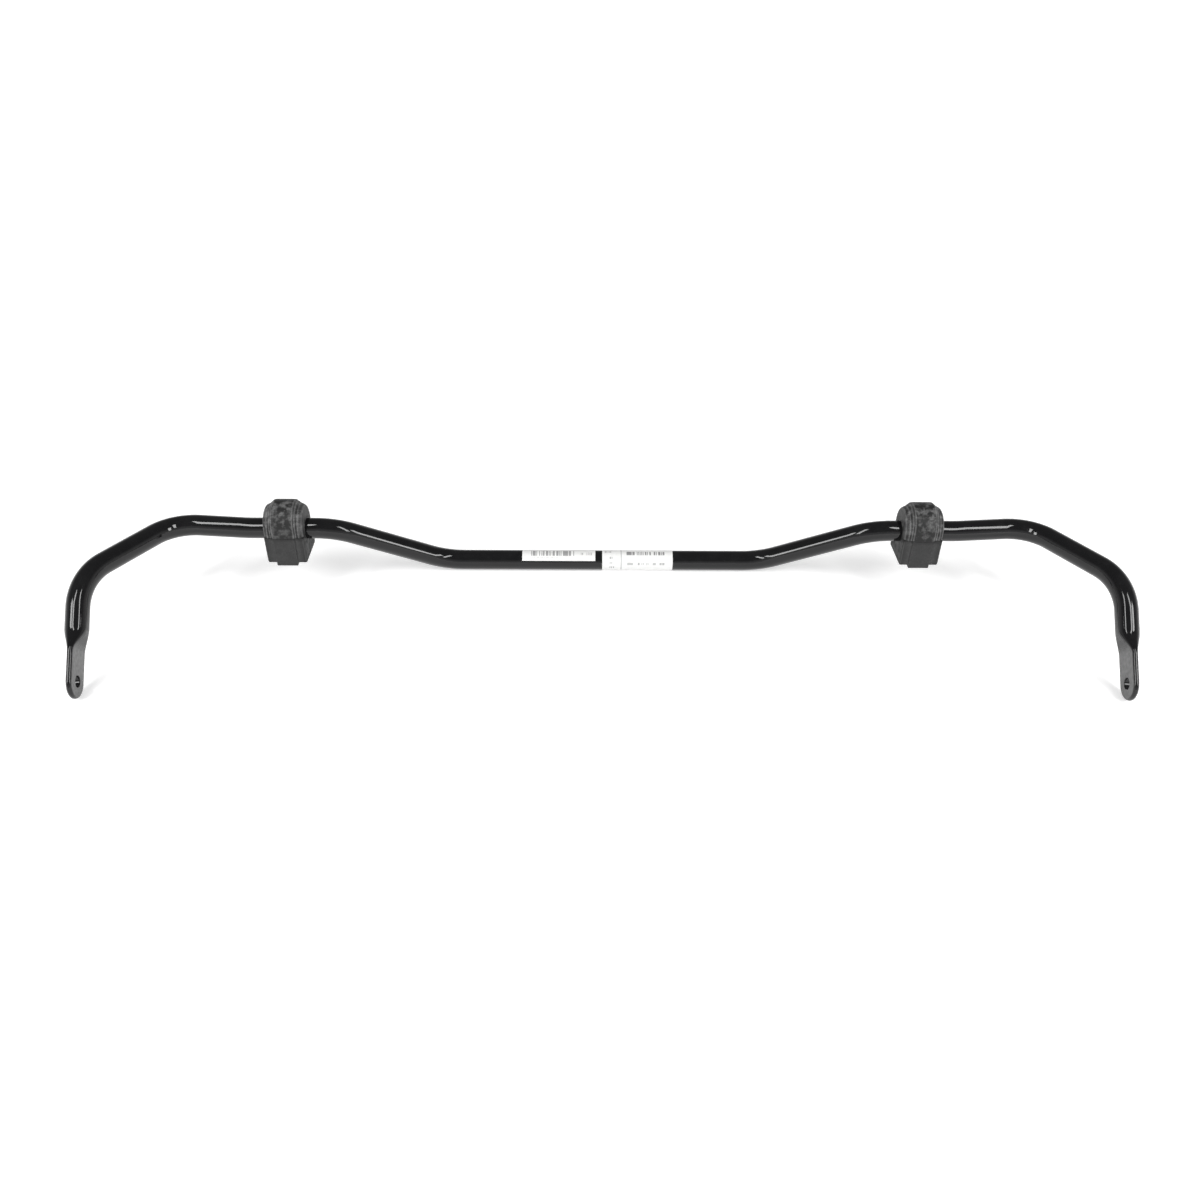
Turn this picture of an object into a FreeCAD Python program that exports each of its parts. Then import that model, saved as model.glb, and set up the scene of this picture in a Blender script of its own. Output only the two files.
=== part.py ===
import FreeCAD, Part
import math
import os

# Sway bar of a car: a bent steel tube with flattened ends, carried by two rubber bushings
# that are split in halves and bonded onto it, and two paper labels at its middle.
# Frame: millimetres, +X along the bar, -Y towards the link ends of the arms, +Z up, with
# Z = 0 on the floor that the middle run and the two arm tips touch.

os.makedirs("parts", exist_ok=True)

doc = FreeCAD.newDocument("SwayBar")
sheet = doc.addObject("Spreadsheet::Sheet", "Sizes")

SIZES = [
    # the tube
    ("bar_diameter", 24.0),
    ("bar_wall", 3.0),
    # the corners of its centre line, from the middle of the bar outwards
    ("middle_half_length", 192.0),
    ("inner_corner_across", 311.0),
    ("outer_kink_across", 410.0),
    ("outer_corner_across", 494.0),
    ("arm_corner_across", 557.0),
    ("link_across", 551.0),
    ("axis_above_middle", 72.0),
    ("axis_before_origin", 79.0),
    ("middle_behind_axis", 45.0),
    ("outer_corner_rise", 5.0),
    ("arm_corner_rise", 10.0),
    ("arm_corner_forward", 116.0),
    ("link_forward", 197.0),
    # the bends, on the centre line
    ("middle_bend_radius", 70.0),
    ("inner_bend_radius", 70.0),
    ("kink_bend_radius", 220.0),
    ("outer_bend_radius", 50.0),
    ("arm_bend_radius", 65.0),
    # the flattened ends
    ("paddle_width", 36.0),
    ("paddle_thickness", 6.0),
    ("paddle_flat_length", 30.0),
    ("flattening_length", 26.0),
    ("link_bore", 12.2),
    ("seam_margin", 2.0),
    ("seam_half_thickness", 0.4),
    ("hollow_end_share", 0.85),
    # the bushings, measured from the bar's axis
    ("bushing_half_spacing", 365.0),
    ("bushing_length", 45.0),
    ("bushing_depth", 46.0),
    ("shoulder_height", 29.5),
    ("shoulder_round", 5.0),
    ("band_width", 24.0),
    ("band_height", 35.0),
    ("band_raise", 1.5),
    ("block_height", 33.0),
    ("pad_height", 36.0),
    ("block_round", 2.0),
    ("split_gap", 0.2),
    ("rib_width", 1.4),
    ("rib_pitch", 3.2),
    ("rib_raise", 0.6),
    # the stiffening shells moulded into the rubber
    ("insert_inner_radius", 16.5),
    ("insert_wall", 2.0),
    ("insert_length", 36.0),
    ("insert_clearance", 0.05),
    # the adhesive between the paint and the rubber
    ("film_thickness", 0.3),
    ("bore_clearance", 0.05),
    # the labels
    ("label_thickness", 0.25),
    ("barcode_label_left", -99.0),
    ("barcode_label_length", 89.0),
    ("barcode_label_start", 27.0),
    ("barcode_label_sweep", 124.0),
    ("wrap_label_left", -1.5),
    ("wrap_label_length", 86.0),
    ("wrap_label_gap", 40.0),
]

for row, (alias, value) in enumerate(SIZES, start=1):
    sheet.set(f"A{row}", alias.replace("_", " "))
    sheet.set(f"B{row}", str(value))
    sheet.setAlias(f"B{row}", alias)
doc.recompute()

SIDES = {"left": -1, "right": 1}
HALVES = {"upper": 1, "lower": -1}
RIBS_PER_SHOULDER = 3
FLATTENING_STEPS = 5
BORE_OVERSHOOT = 1.0
NEAR = 0.01

UP = FreeCAD.Vector(0, 0, 1)
ALONG_BAR = FreeCAD.Rotation(FreeCAD.Vector(0, 1, 0), 90)


def size(alias):
    """The number in the cell of the sheet that has this alias."""
    return float(sheet.get(alias))


# ---- helpers for objects of the document --------------------------------------------


def bind(item, **expressions):
    """Bind properties of an object to expressions in the sheet's aliases."""
    for name, expression in expressions.items():
        item.setExpression(name, expression)
    return item


def place(item, across, depth, height):
    """Bind the place of an object's own origin."""
    item.setExpression(".Placement.Base.x", across)
    item.setExpression(".Placement.Base.y", depth)
    item.setExpression(".Placement.Base.z", height)
    return item


def box(name, length, width, height, across, depth, base):
    """A box whose sizes and lowest corner are expressions."""
    item = bind(doc.addObject("Part::Box", name), Length=length, Width=width, Height=height)
    return place(item, across, depth, base)


def cylinder_along_bar(name, radius, length, across, height, sweep=360, roll=0):
    """A cylinder, or a sector of one, along +X from its base, centred on the bar's axis."""
    item = bind(doc.addObject("Part::Cylinder", name), Radius=radius, Height=length)
    item.Angle = sweep
    turn = ALONG_BAR.multiply(FreeCAD.Rotation(UP, roll))
    item.Placement = FreeCAD.Placement(FreeCAD.Vector(), turn)
    return place(item, across, AXIS_DEPTH, height)


def fuse(name, shapes):
    item = doc.addObject("Part::MultiFuse", name)
    item.Shapes = shapes
    item.Refine = True
    return item


def cut(name, base, tool):
    item = doc.addObject("Part::Cut", name)
    item.Base = base
    item.Tool = tool
    return item


def round_edges(name, base, radius, wanted):
    """Fillet the edges whose bounds, set beside those of the whole object, pass a test."""
    doc.recompute()
    item = doc.addObject("Part::Fillet", name)
    item.Base = base
    whole = base.Shape.BoundBox
    edges = enumerate(base.Shape.Edges, start=1)
    picked = [i for i, edge in edges if wanted(edge.BoundBox, whole)]
    item.Edges = [(i, radius, radius) for i in picked]
    return item


AXIS_DEPTH = "Sizes.axis_before_origin"
AXIS_HEIGHT = "Sizes.bar_diameter / 2 + Sizes.axis_above_middle"
MIDDLE_DEPTH = "Sizes.axis_before_origin + Sizes.middle_behind_axis"

bar_radius = size("bar_diameter") / 2
axis_depth = size("axis_before_origin")
axis_height = bar_radius + size("axis_above_middle")

# ---- the bar -----------------------------------------------------------------------


def centre_line_corners(side):
    """The corners of one half of the centre line, from the middle run to the link hole."""
    return [
        FreeCAD.Vector(
            side * size("middle_half_length"),
            axis_depth + size("middle_behind_axis"),
            bar_radius,
        ),
        FreeCAD.Vector(side * size("inner_corner_across"), axis_depth, axis_height),
        FreeCAD.Vector(side * size("outer_kink_across"), axis_depth, axis_height),
        FreeCAD.Vector(
            side * size("outer_corner_across"),
            axis_depth,
            axis_height + size("outer_corner_rise"),
        ),
        FreeCAD.Vector(
            side * size("arm_corner_across"),
            axis_depth - size("arm_corner_forward"),
            axis_height + size("arm_corner_rise"),
        ),
        FreeCAD.Vector(
            side * size("link_across"),
            axis_depth - size("link_forward"),
            size("paddle_width") / 2,
        ),
    ]


def rounded_path(corners, radii):
    """Straight runs through the corners, joined by tangent arcs of the given radii."""
    edges = []
    start = corners[0]
    for before, corner, after, radius in zip(corners, corners[1:], corners[2:], radii):
        incoming = (corner - before).normalize()
        outgoing = (after - corner).normalize()
        half_turn = incoming.getAngle(outgoing) / 2
        reach = radius * math.tan(half_turn)
        arc_start = corner - incoming * reach
        arc_end = corner + outgoing * reach
        inwards = (outgoing - incoming).normalize()
        centre = corner + inwards * (radius / math.cos(half_turn))
        edges.append(Part.LineSegment(start, arc_start).toShape())
        edges.append(Part.Arc(arc_start, centre - inwards * radius, arc_end).toShape())
        start = arc_end
    edges.append(Part.LineSegment(start, corners[-1]).toShape())
    return Part.Wire(edges)


def smooth_step(share):
    return share * share * (3 - 2 * share)


class Arm:
    """The directions and stations of one flattened end of the bar.

    along points down the arm to its tip, normal is square to the flat faces and level,
    and wide lies across the flat faces.
    """

    def __init__(self, side):
        corners = centre_line_corners(side)
        self.hole = corners[-1]
        self.along = (self.hole - corners[-2]).normalize()
        self.normal = self.along.cross(UP).normalize()
        self.wide = self.normal.cross(self.along).normalize()
        self.flat_start = self.hole - self.along * size("paddle_flat_length")
        self.round_end = self.flat_start - self.along * size("flattening_length")

    def point(self, station, wide, normal):
        return station + self.wide * wide + self.normal * normal

    def section(self, station, half_width, half_thickness):
        """A slot-shaped section: two straight sides joined by two half circles."""
        straight = half_width - half_thickness
        if straight < NEAR:
            return self.round_section(station, half_thickness)
        corners = [
            self.point(station, across * straight, over * half_thickness)
            for across, over in ((1, -1), (1, 1), (-1, 1), (-1, -1))
        ]
        right_end = self.point(station, half_width, 0)
        left_end = self.point(station, -half_width, 0)
        return Part.Wire(
            [
                Part.Arc(corners[0], right_end, corners[1]).toShape(),
                Part.LineSegment(corners[1], corners[2]).toShape(),
                Part.Arc(corners[2], left_end, corners[3]).toShape(),
                Part.LineSegment(corners[3], corners[0]).toShape(),
            ]
        )

    def round_section(self, station, radius):
        """A circle in four quarters that match the four sides of the slot shape."""
        places = [
            self.point(
                station,
                radius * math.cos(math.radians(45 * step - 45)),
                radius * math.sin(math.radians(45 * step - 45)),
            )
            for step in range(9)
        ]
        quarters = [places[2 * i : 2 * i + 3] for i in range(4)]
        return Part.Wire([Part.Arc(*three).toShape() for three in quarters])

    def flattening(self, start_radius, end_half_width, end_half_thickness, length):
        """The stretch where the round tube turns into the flat end."""
        wires = []
        for step in range(FLATTENING_STEPS + 1):
            travel = step / FLATTENING_STEPS
            share = smooth_step(travel)
            half_width = start_radius + (end_half_width - start_radius) * share
            half_thickness = start_radius + (end_half_thickness - start_radius) * share
            station = self.round_end + self.along * (length * travel)
            wires.append(self.section(station, half_width, half_thickness))
        return Part.makeLoft(wires, True, False)

    def paddle(self):
        """The flat end, closed by its own section turned half round the link hole."""
        half_width = size("paddle_width") / 2
        half_thickness = size("paddle_thickness") / 2
        section = Part.Face(self.section(self.flat_start, half_width, half_thickness))
        strip = section.extrude(self.along * size("paddle_flat_length"))
        straight = half_width - half_thickness
        low = self.point(self.hole, straight, -half_thickness)
        high = self.point(self.hole, straight, half_thickness)
        rim = Part.Arc(low, self.point(self.hole, half_width, 0), high).toShape()
        inner_high = self.point(self.hole, 0, half_thickness)
        inner_low = self.point(self.hole, 0, -half_thickness)
        sides = Part.makePolygon([high, inner_high, inner_low, low])
        half_section = Part.Face(Part.Wire([rim] + sides.Edges))
        tip = half_section.revolve(self.hole, -self.normal, 180)
        return strip.fuse(tip)

    def link_hole(self):
        """The drill of the link hole, which stands clear of both flat faces."""
        reach = size("paddle_thickness")
        start = self.hole - self.normal * reach
        return Part.makeCylinder(size("link_bore") / 2, 2 * reach, start, self.normal)


def tube_path():
    """The centre line of the round tube, from one flattened end to the other."""
    radii = [
        size("middle_bend_radius"),
        size("inner_bend_radius"),
        size("kink_bend_radius"),
        size("outer_bend_radius"),
        size("arm_bend_radius"),
    ]
    left = centre_line_corners(SIDES["left"])[:-1]
    right = centre_line_corners(SIDES["right"])[:-1]
    ends = [Arm(SIDES["left"]).round_end, Arm(SIDES["right"]).round_end]
    corners = [ends[0]] + left[::-1] + right + [ends[1]]
    return rounded_path(corners, radii[::-1] + radii)


def swept_tube(path, radius):
    """A solid rod of the given radius along the path."""
    arm = Arm(SIDES["left"])
    ring = Part.Wire(Part.makeCircle(radius, arm.round_end, arm.along))
    return path.makePipeShell([ring], True, False)


def hollow_bar():
    """The steel outside, less the sealed hollow of the tube."""
    path = tube_path()
    inner_radius = bar_radius - size("bar_wall")
    half_width = size("paddle_width") / 2
    half_thickness = size("paddle_thickness") / 2
    length = size("flattening_length")
    hollow_length = size("hollow_end_share") * length
    seam_half_width = half_width - size("bar_wall") - size("seam_margin")
    seam_half_thickness = size("seam_half_thickness")
    steel = swept_tube(path, bar_radius)
    hollow = swept_tube(path, inner_radius)
    for side in SIDES.values():
        arm = Arm(side)
        outside = arm.flattening(bar_radius, half_width, half_thickness, length)
        inside = arm.flattening(
            inner_radius, seam_half_width, seam_half_thickness, hollow_length
        )
        steel = steel.fuse([outside, arm.paddle()])
        hollow = hollow.fuse(inside)
        steel = steel.cut(arm.link_hole())
    return steel.removeSplitter().cut(hollow.removeSplitter())


bar = doc.addObject("Part::Feature", "Bar")
bar.Label = "bar"
bar.Shape = hollow_bar()

# ---- the adhesive film, the stiffening shells and the rubber halves ----------------

FILM_RADIUS = "Sizes.bar_diameter / 2 + Sizes.film_thickness"
BORE_RADIUS = f"{FILM_RADIUS} + Sizes.bore_clearance"


def centred(middle, length):
    """The low end of a length that is centred on a place, as an expression."""
    return f"{middle} - ({length}) / 2"


def bond_film(name, middle):
    start = centred(middle, "Sizes.bushing_length")
    outer = cylinder_along_bar(
        f"{name}_outer", FILM_RADIUS, "Sizes.bushing_length", start, AXIS_HEIGHT
    )
    inner = cylinder_along_bar(
        f"{name}_inner", "Sizes.bar_diameter / 2", "Sizes.bushing_length", start, AXIS_HEIGHT
    )
    return cut(name, outer, inner)


def half_ring(name, middle, half, inner_radius, outer_radius, length):
    """Half a ring about the bar's axis, whose ends stop at the split."""
    roll = 90 if half == "upper" else -90
    start = centred(middle, length)
    lift = f"Sizes.split_gap / 2 * {HALVES[half]}"
    height = f"{AXIS_HEIGHT} + {lift}"
    outer = cylinder_along_bar(
        f"{name}_outer", outer_radius, length, start, height, sweep=180, roll=roll
    )
    inner = cylinder_along_bar(f"{name}_inner", inner_radius, length, start, height)
    return cut(name, outer, inner)


def insert(name, middle, half):
    return half_ring(
        name,
        middle,
        half,
        "Sizes.insert_inner_radius",
        "Sizes.insert_inner_radius + Sizes.insert_wall",
        "Sizes.insert_length",
    )


def insert_pocket(name, middle, half):
    return half_ring(
        name,
        middle,
        half,
        "Sizes.insert_inner_radius - Sizes.insert_clearance",
        "Sizes.insert_inner_radius + Sizes.insert_wall + Sizes.insert_clearance",
        "Sizes.insert_length + 2 * Sizes.insert_clearance",
    )


def dome(name, middle, length, depth, top):
    """A straight-sided block from the split up, closed by a half cylinder on top."""
    start = centred(middle, length)
    split = f"{AXIS_HEIGHT} + Sizes.split_gap / 2"
    crown = f"{AXIS_HEIGHT} + ({top}) - ({depth}) / 2"
    sides = box(
        f"{name}_sides",
        length,
        depth,
        f"({top}) - ({depth}) / 2 - Sizes.split_gap / 2",
        start,
        centred(AXIS_DEPTH, depth),
        split,
    )
    arch = cylinder_along_bar(
        f"{name}_arch", f"({depth}) / 2", length, start, crown, sweep=180, roll=90
    )
    return fuse(name, [sides, arch])


def slab(name, middle, length, depth, bottom):
    """A block from the split down."""
    height = f"({bottom}) - Sizes.split_gap / 2"
    return box(
        name,
        length,
        depth,
        height,
        centred(middle, length),
        centred(AXIS_DEPTH, depth),
        f"{AXIS_HEIGHT} - ({bottom})",
    )


def band_flank(name, middle, side):
    """The 45 degree slope between the raised band and one shoulder."""
    rise = "(Sizes.band_height - Sizes.shoulder_height)"
    radius = "(Sizes.bushing_depth / 2 + Sizes.band_raise)"
    item = doc.addObject("Part::Cone", name)
    bind(item, Radius1=radius, Radius2=f"{radius} - {rise}", Height=rise)
    turn = FreeCAD.Rotation(FreeCAD.Vector(0, 1, 0), 90 * side)
    item.Placement = FreeCAD.Placement(FreeCAD.Vector(), turn)
    across = f"{middle} + {side} * Sizes.band_width / 2"
    return place(item, across, AXIS_DEPTH, f"{AXIS_HEIGHT} + Sizes.band_height - {radius}")


def rubber_upper(name, middle):
    shoulder = dome(
        f"{name}_shoulder",
        middle,
        "Sizes.bushing_length",
        "Sizes.bushing_depth",
        "Sizes.shoulder_height",
    )

    def is_outer_end(edge, whole):
        """The arch and the upright edges of both end faces."""
        upright = edge.XLength < NEAR < edge.ZLength
        from_end = min(edge.XMin - whole.XMin, whole.XMax - edge.XMax)
        return upright and from_end < NEAR

    rounded = round_edges(f"{name}_rounded", shoulder, size("shoulder_round"), is_outer_end)
    pieces = [rounded]
    pieces.append(
        dome(
            f"{name}_band",
            middle,
            "Sizes.band_width",
            "Sizes.bushing_depth + 2 * Sizes.band_raise",
            "Sizes.band_height",
        )
    )
    for end, side in SIDES.items():
        pieces.append(band_flank(f"{name}_{end}_flank", middle, side))
        for rib in range(RIBS_PER_SHOULDER):
            first_rib = "Sizes.bushing_length / 2 - Sizes.shoulder_round"
            across = f"{first_rib} - {rib} * Sizes.rib_pitch"
            pieces.append(
                dome(
                    f"{name}_{end}_rib_{rib}",
                    f"{middle} + {side} * ({across})",
                    "Sizes.rib_width",
                    "Sizes.bushing_depth + 2 * Sizes.rib_raise",
                    "Sizes.shoulder_height + Sizes.rib_raise",
                )
            )
    return fuse(f"{name}_outside", pieces)


def rubber_lower(name, middle):
    block = slab(
        f"{name}_block",
        middle,
        "Sizes.bushing_length",
        "Sizes.bushing_depth",
        "Sizes.block_height",
    )
    band = slab(
        f"{name}_band",
        middle,
        "Sizes.band_width",
        "Sizes.bushing_depth + 2 * Sizes.band_raise",
        "Sizes.pad_height",
    )

    def is_outside(edge, whole):
        """Every edge but those of the face at the split."""
        return edge.ZMin < whole.ZMax - NEAR

    blocks = [
        round_edges(f"{name}_block_rounded", block, size("block_round"), is_outside),
        round_edges(f"{name}_band_rounded", band, size("band_raise") / 2, is_outside),
    ]
    return fuse(f"{name}_outside", blocks)


def split_keeper(name, middle, half):
    """The space on one side of the split that is wide enough for half a bushing."""
    reach = "(Sizes.bushing_depth + Sizes.band_height)"
    side = HALVES[half]
    base = f"{AXIS_HEIGHT} + Sizes.split_gap / 2"
    if side < 0:
        base = f"{AXIS_HEIGHT} - Sizes.split_gap / 2 - {reach}"
    return box(
        name,
        f"2 * {reach}",
        f"2 * {reach}",
        reach,
        centred(middle, f"2 * {reach}"),
        centred(AXIS_DEPTH, f"2 * {reach}"),
        base,
    )


def rubber_half(name, middle, half):
    outside = rubber_upper(name, middle) if half == "upper" else rubber_lower(name, middle)
    kept = doc.addObject("Part::MultiCommon", f"{name}_kept")
    kept.Shapes = [outside, split_keeper(f"{name}_side", middle, half)]
    bore_length = f"Sizes.bushing_length + 2 * {BORE_OVERSHOOT}"
    bore = cylinder_along_bar(
        f"{name}_bore", BORE_RADIUS, bore_length, centred(middle, bore_length), AXIS_HEIGHT
    )
    pocket = insert_pocket(f"{name}_pocket", middle, half)
    bored = cut(f"{name}_bored", kept, bore)
    return cut(name, bored, pocket)


films = []
inserts = []
rubbers = []
for side_name, sign in SIDES.items():
    bushing_middle = f"{sign} * Sizes.bushing_half_spacing"
    films.append(bond_film(f"{side_name}_bond_film", bushing_middle))
    for half_name in HALVES:
        inserts.append(
            insert(f"{side_name}_insert_{half_name}", bushing_middle, half_name)
        )
        rubbers.append(
            rubber_half(f"{side_name}_bushing_{half_name}", bushing_middle, half_name)
        )

# ---- the labels --------------------------------------------------------------------


def label(name, start_angle, sweep):
    """A sheet wrapped on the middle run, whose place along it has the label's own names.

    The angles run from the front of the tube, up and over it, in degrees.
    """
    length = f"Sizes.{name}_length"
    face_on = FreeCAD.Rotation(
        FreeCAD.Vector(0, -1, 0), UP, FreeCAD.Vector(-1, 0, 0), "XYZ"
    )
    turn = face_on.multiply(FreeCAD.Rotation(UP, start_angle))
    tube_radius = "Sizes.bar_diameter / 2"
    radii = {"paper": f"{tube_radius} + Sizes.label_thickness", "tube": tube_radius}
    layers = {}
    for layer, radius in radii.items():
        item = doc.addObject("Part::Cylinder", f"{name}_{layer}")
        bind(item, Radius=radius, Height=length)
        item.Placement = FreeCAD.Placement(FreeCAD.Vector(), turn)
        place(item, f"Sizes.{name}_left + {length}", MIDDLE_DEPTH, tube_radius)
        layers[layer] = item
    bind(layers["paper"], Angle=sweep)
    return cut(name, layers["paper"], layers["tube"])


STRAIGHT_DOWN = -90

labels = [
    label("barcode_label", size("barcode_label_start"), "Sizes.barcode_label_sweep"),
    label(
        "wrap_label",
        STRAIGHT_DOWN + size("wrap_label_gap") / 2,
        "360 - Sizes.wrap_label_gap",
    ),
]

# ---- checks and export -------------------------------------------------------------

doc.recompute()

for item in doc.Objects:
    if "Invalid" in item.State or "Error" in item.State:
        raise RuntimeError(f"{item.Label} failed: {item.State}")

for item in [bar] + films + inserts + rubbers + labels:
    shape = item.Shape
    if shape.isNull() or not shape.isValid() or len(shape.Solids) != 1:
        raise RuntimeError(f"{item.Label} has no single valid solid")
    shape.exportStep(f"parts/{item.Label}.step")
    bounds = shape.BoundBox
    print(
        f"{item.Label}: {shape.Volume / 1000:.2f} cm3,"
        f" X {bounds.XMin:.1f} to {bounds.XMax:.1f},"
        f" Y {bounds.YMin:.1f} to {bounds.YMax:.1f},"
        f" Z {bounds.ZMin:.1f} to {bounds.ZMax:.1f}"
    )
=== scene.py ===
# %% [markdown]
# # A sway bar in a plain studio
# A sway bar ties the two sides of a car's suspension together. It is one bent steel tube with
# flattened ends, held by two split rubber bushings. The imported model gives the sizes; this
# script gives every visible piece a smooth surface and a finish.

# %% Load the frame
import math

import bmesh
import bpy
import numpy as np
from mathutils import Matrix, Vector


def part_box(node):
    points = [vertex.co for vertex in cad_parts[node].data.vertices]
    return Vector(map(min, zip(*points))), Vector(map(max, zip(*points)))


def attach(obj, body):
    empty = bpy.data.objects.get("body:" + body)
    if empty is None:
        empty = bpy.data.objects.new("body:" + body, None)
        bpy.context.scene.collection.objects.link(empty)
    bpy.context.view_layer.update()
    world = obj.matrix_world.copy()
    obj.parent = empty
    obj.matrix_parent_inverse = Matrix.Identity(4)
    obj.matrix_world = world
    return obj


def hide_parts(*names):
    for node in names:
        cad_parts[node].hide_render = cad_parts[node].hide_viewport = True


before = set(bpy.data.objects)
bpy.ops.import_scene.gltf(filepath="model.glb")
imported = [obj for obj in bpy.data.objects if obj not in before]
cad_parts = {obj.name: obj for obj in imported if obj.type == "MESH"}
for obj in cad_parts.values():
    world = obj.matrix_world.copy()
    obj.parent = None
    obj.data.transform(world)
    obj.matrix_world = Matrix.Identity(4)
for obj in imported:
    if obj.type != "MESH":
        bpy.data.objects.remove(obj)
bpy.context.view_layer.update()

MM = 0.001

# %% [markdown]
# ## The bar's centre line
# The real tube is bent cold on a few round formers, so its centre line is straight runs
# joined by arcs. The sizes that the frame can tell are read from it: the tube's radius, the
# height of the bushings' axis and the depth of the middle run. The other corners are the
# bender's own settings, and are given here once, for one half of the bar.

# %% Sizes of the bar
film_low, film_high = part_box("right_bond_film")
wrap_low, wrap_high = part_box("wrap_label")

BUSHING_MIDDLE = round((film_low.x + film_high.x) / 2, 4)
AXIS_DEPTH = round((film_low.y + film_high.y) / 2, 4)
AXIS_HEIGHT = round((film_low.z + film_high.z) / 2, 4)
MIDDLE_DEPTH = round((wrap_low.y + wrap_high.y) / 2, 4)
BAR_RADIUS = 12.0 * MM

MIDDLE_HALF = 192.0 * MM
INNER_CORNER = 311.0 * MM
OUTER_KINK = 410.0 * MM
OUTER_CORNER = (494.0 * MM, 5.0 * MM)
ARM_CORNER = (557.0 * MM, 116.0 * MM, 10.0 * MM)
LINK_HOLE = (551.0 * MM, 197.0 * MM)
BEND_RADII = [70.0 * MM, 70.0 * MM, 220.0 * MM, 50.0 * MM, 65.0 * MM]

PADDLE_HALF_WIDTH = 18.0 * MM
PADDLE_HALF_THICKNESS = 3.0 * MM
PADDLE_FLAT = 30.0 * MM
FLATTENING = 26.0 * MM
LINK_BORE_RADIUS = 6.1 * MM
PRESS_RINGS = 27
FLAT_RINGS = 16
FAN_RINGS = 25

print("bushing axis at depth", AXIS_DEPTH, "and height", AXIS_HEIGHT)


# %% Corners of the centre line
def centre_line_corners(side):
    """The corners of one half, from the middle run to the link hole, as an array."""
    return np.array(
        [
            (side * MIDDLE_HALF, MIDDLE_DEPTH, BAR_RADIUS),
            (side * INNER_CORNER, AXIS_DEPTH, AXIS_HEIGHT),
            (side * OUTER_KINK, AXIS_DEPTH, AXIS_HEIGHT),
            (side * OUTER_CORNER[0], AXIS_DEPTH, AXIS_HEIGHT + OUTER_CORNER[1]),
            (
                side * ARM_CORNER[0],
                AXIS_DEPTH - ARM_CORNER[1],
                AXIS_HEIGHT + ARM_CORNER[2],
            ),
            (side * LINK_HOLE[0], AXIS_DEPTH - LINK_HOLE[1], PADDLE_HALF_WIDTH),
        ]
    )


def unit(vector):
    return vector / np.linalg.norm(vector, axis=-1, keepdims=True)


def run_stations(start, end, spacing):
    """Evenly spaced places on a straight run, without its end, and their directions."""
    count = max(2, int(np.linalg.norm(end - start) / spacing))
    share = np.arange(count)[:, None] / count
    return start + (end - start) * share, np.repeat(unit(end - start)[None], count, 0)


def bend_stations(before, corner, after, radius, turn_step):
    """Places on the arc that rounds a corner: centre + radius x (cos, sin) of the turn."""
    incoming, outgoing = unit(corner - before), unit(after - corner)
    turn = math.acos(float(np.clip(incoming @ outgoing, -1, 1)))
    reach = radius * math.tan(turn / 2)
    inwards = unit(outgoing - incoming)
    centre = corner + inwards * radius / math.cos(turn / 2)
    start = corner - incoming * reach
    out = unit(start - centre)
    angle = np.linspace(0, turn, max(3, int(turn / turn_step)) + 1)[:, None]
    places = centre + radius * (out * np.cos(angle) + incoming * np.sin(angle))
    directions = incoming * np.cos(angle) - out * np.sin(angle)
    return places[:-1], directions[:-1], start, corner + outgoing * reach


def rounded_line(corners, radii, spacing=4 * MM, turn_step=math.radians(1.6)):
    """All places and directions on the straight runs and arcs through the corners."""
    places, directions = [], []
    start = corners[0]
    for index, radius in enumerate(radii):
        arc = bend_stations(*corners[index : index + 3], radius, turn_step)
        run = run_stations(start, arc[2], spacing)
        places += [run[0], arc[0]]
        directions += [run[1], arc[1]]
        start = arc[3]
    run = run_stations(start, corners[-1], spacing)
    places += [run[0], corners[-1][None]]
    directions += [run[1], run[1][:1]]
    return np.concatenate(places), np.concatenate(directions)


half_corners = centre_line_corners(1)
print("half of the centre line has", len(half_corners), "corners")

# %% [markdown]
# ## The bar's surface
# The whole bar is one surface: rings carried along the centre line. A ring is a slot shape,
# two straight sides joined by two half circles. Where the tube is round the straight sides
# have no length. Towards the tips a press squeezes the slot flat. Past the link hole the
# rings fan round to close the tip, as a coin's edge does.


# %% Slot-shaped rings
def smooth_step(share):
    share = np.clip(share, 0, 1)
    return share * share * (3 - 2 * share)


def slot_ring(half_width, half_thickness, points):
    """Places round slots, evenly spaced by length: along one side, round an end, and back.

    half_width and half_thickness are arrays with one entry for each ring. Returns two arrays,
    across the flat faces and over them, with a row for each ring.
    """
    straight = (half_width - half_thickness)[:, None]
    radius = half_thickness[:, None]
    around = 4 * straight + 2 * math.pi * radius
    distance = around * (np.arange(points)[None] / points)
    first_arc = straight
    back = first_arc + math.pi * radius
    second_arc = back + 2 * straight
    last = second_arc + math.pi * radius
    angle_one = (distance - first_arc) / radius
    angle_two = (distance - second_arc) / radius
    across = np.select(
        [distance < first_arc, distance < back, distance < second_arc, distance < last],
        [
            distance,
            straight + radius * np.sin(angle_one),
            straight - (distance - back),
            -straight - radius * np.sin(angle_two),
        ],
        default=distance - around,
    )
    over = np.select(
        [distance < first_arc, distance < back, distance < second_arc, distance < last],
        [
            radius + 0 * distance,
            radius * np.cos(angle_one),
            -radius + 0 * distance,
            -radius * np.cos(angle_two),
        ],
        default=radius + 0 * distance,
    )
    return across, over


# %% A mesh from a grid of places
def grid_faces(rings, points):
    """Quads between neighbouring rings, each ring closed on itself."""
    ring = np.arange(rings - 1)[:, None] * points
    here = np.arange(points)[None]
    after = (here + 1) % points
    return np.stack(
        [ring + here, ring + after, ring + points + after, ring + points + here], -1
    ).reshape(-1, 4)


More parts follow.
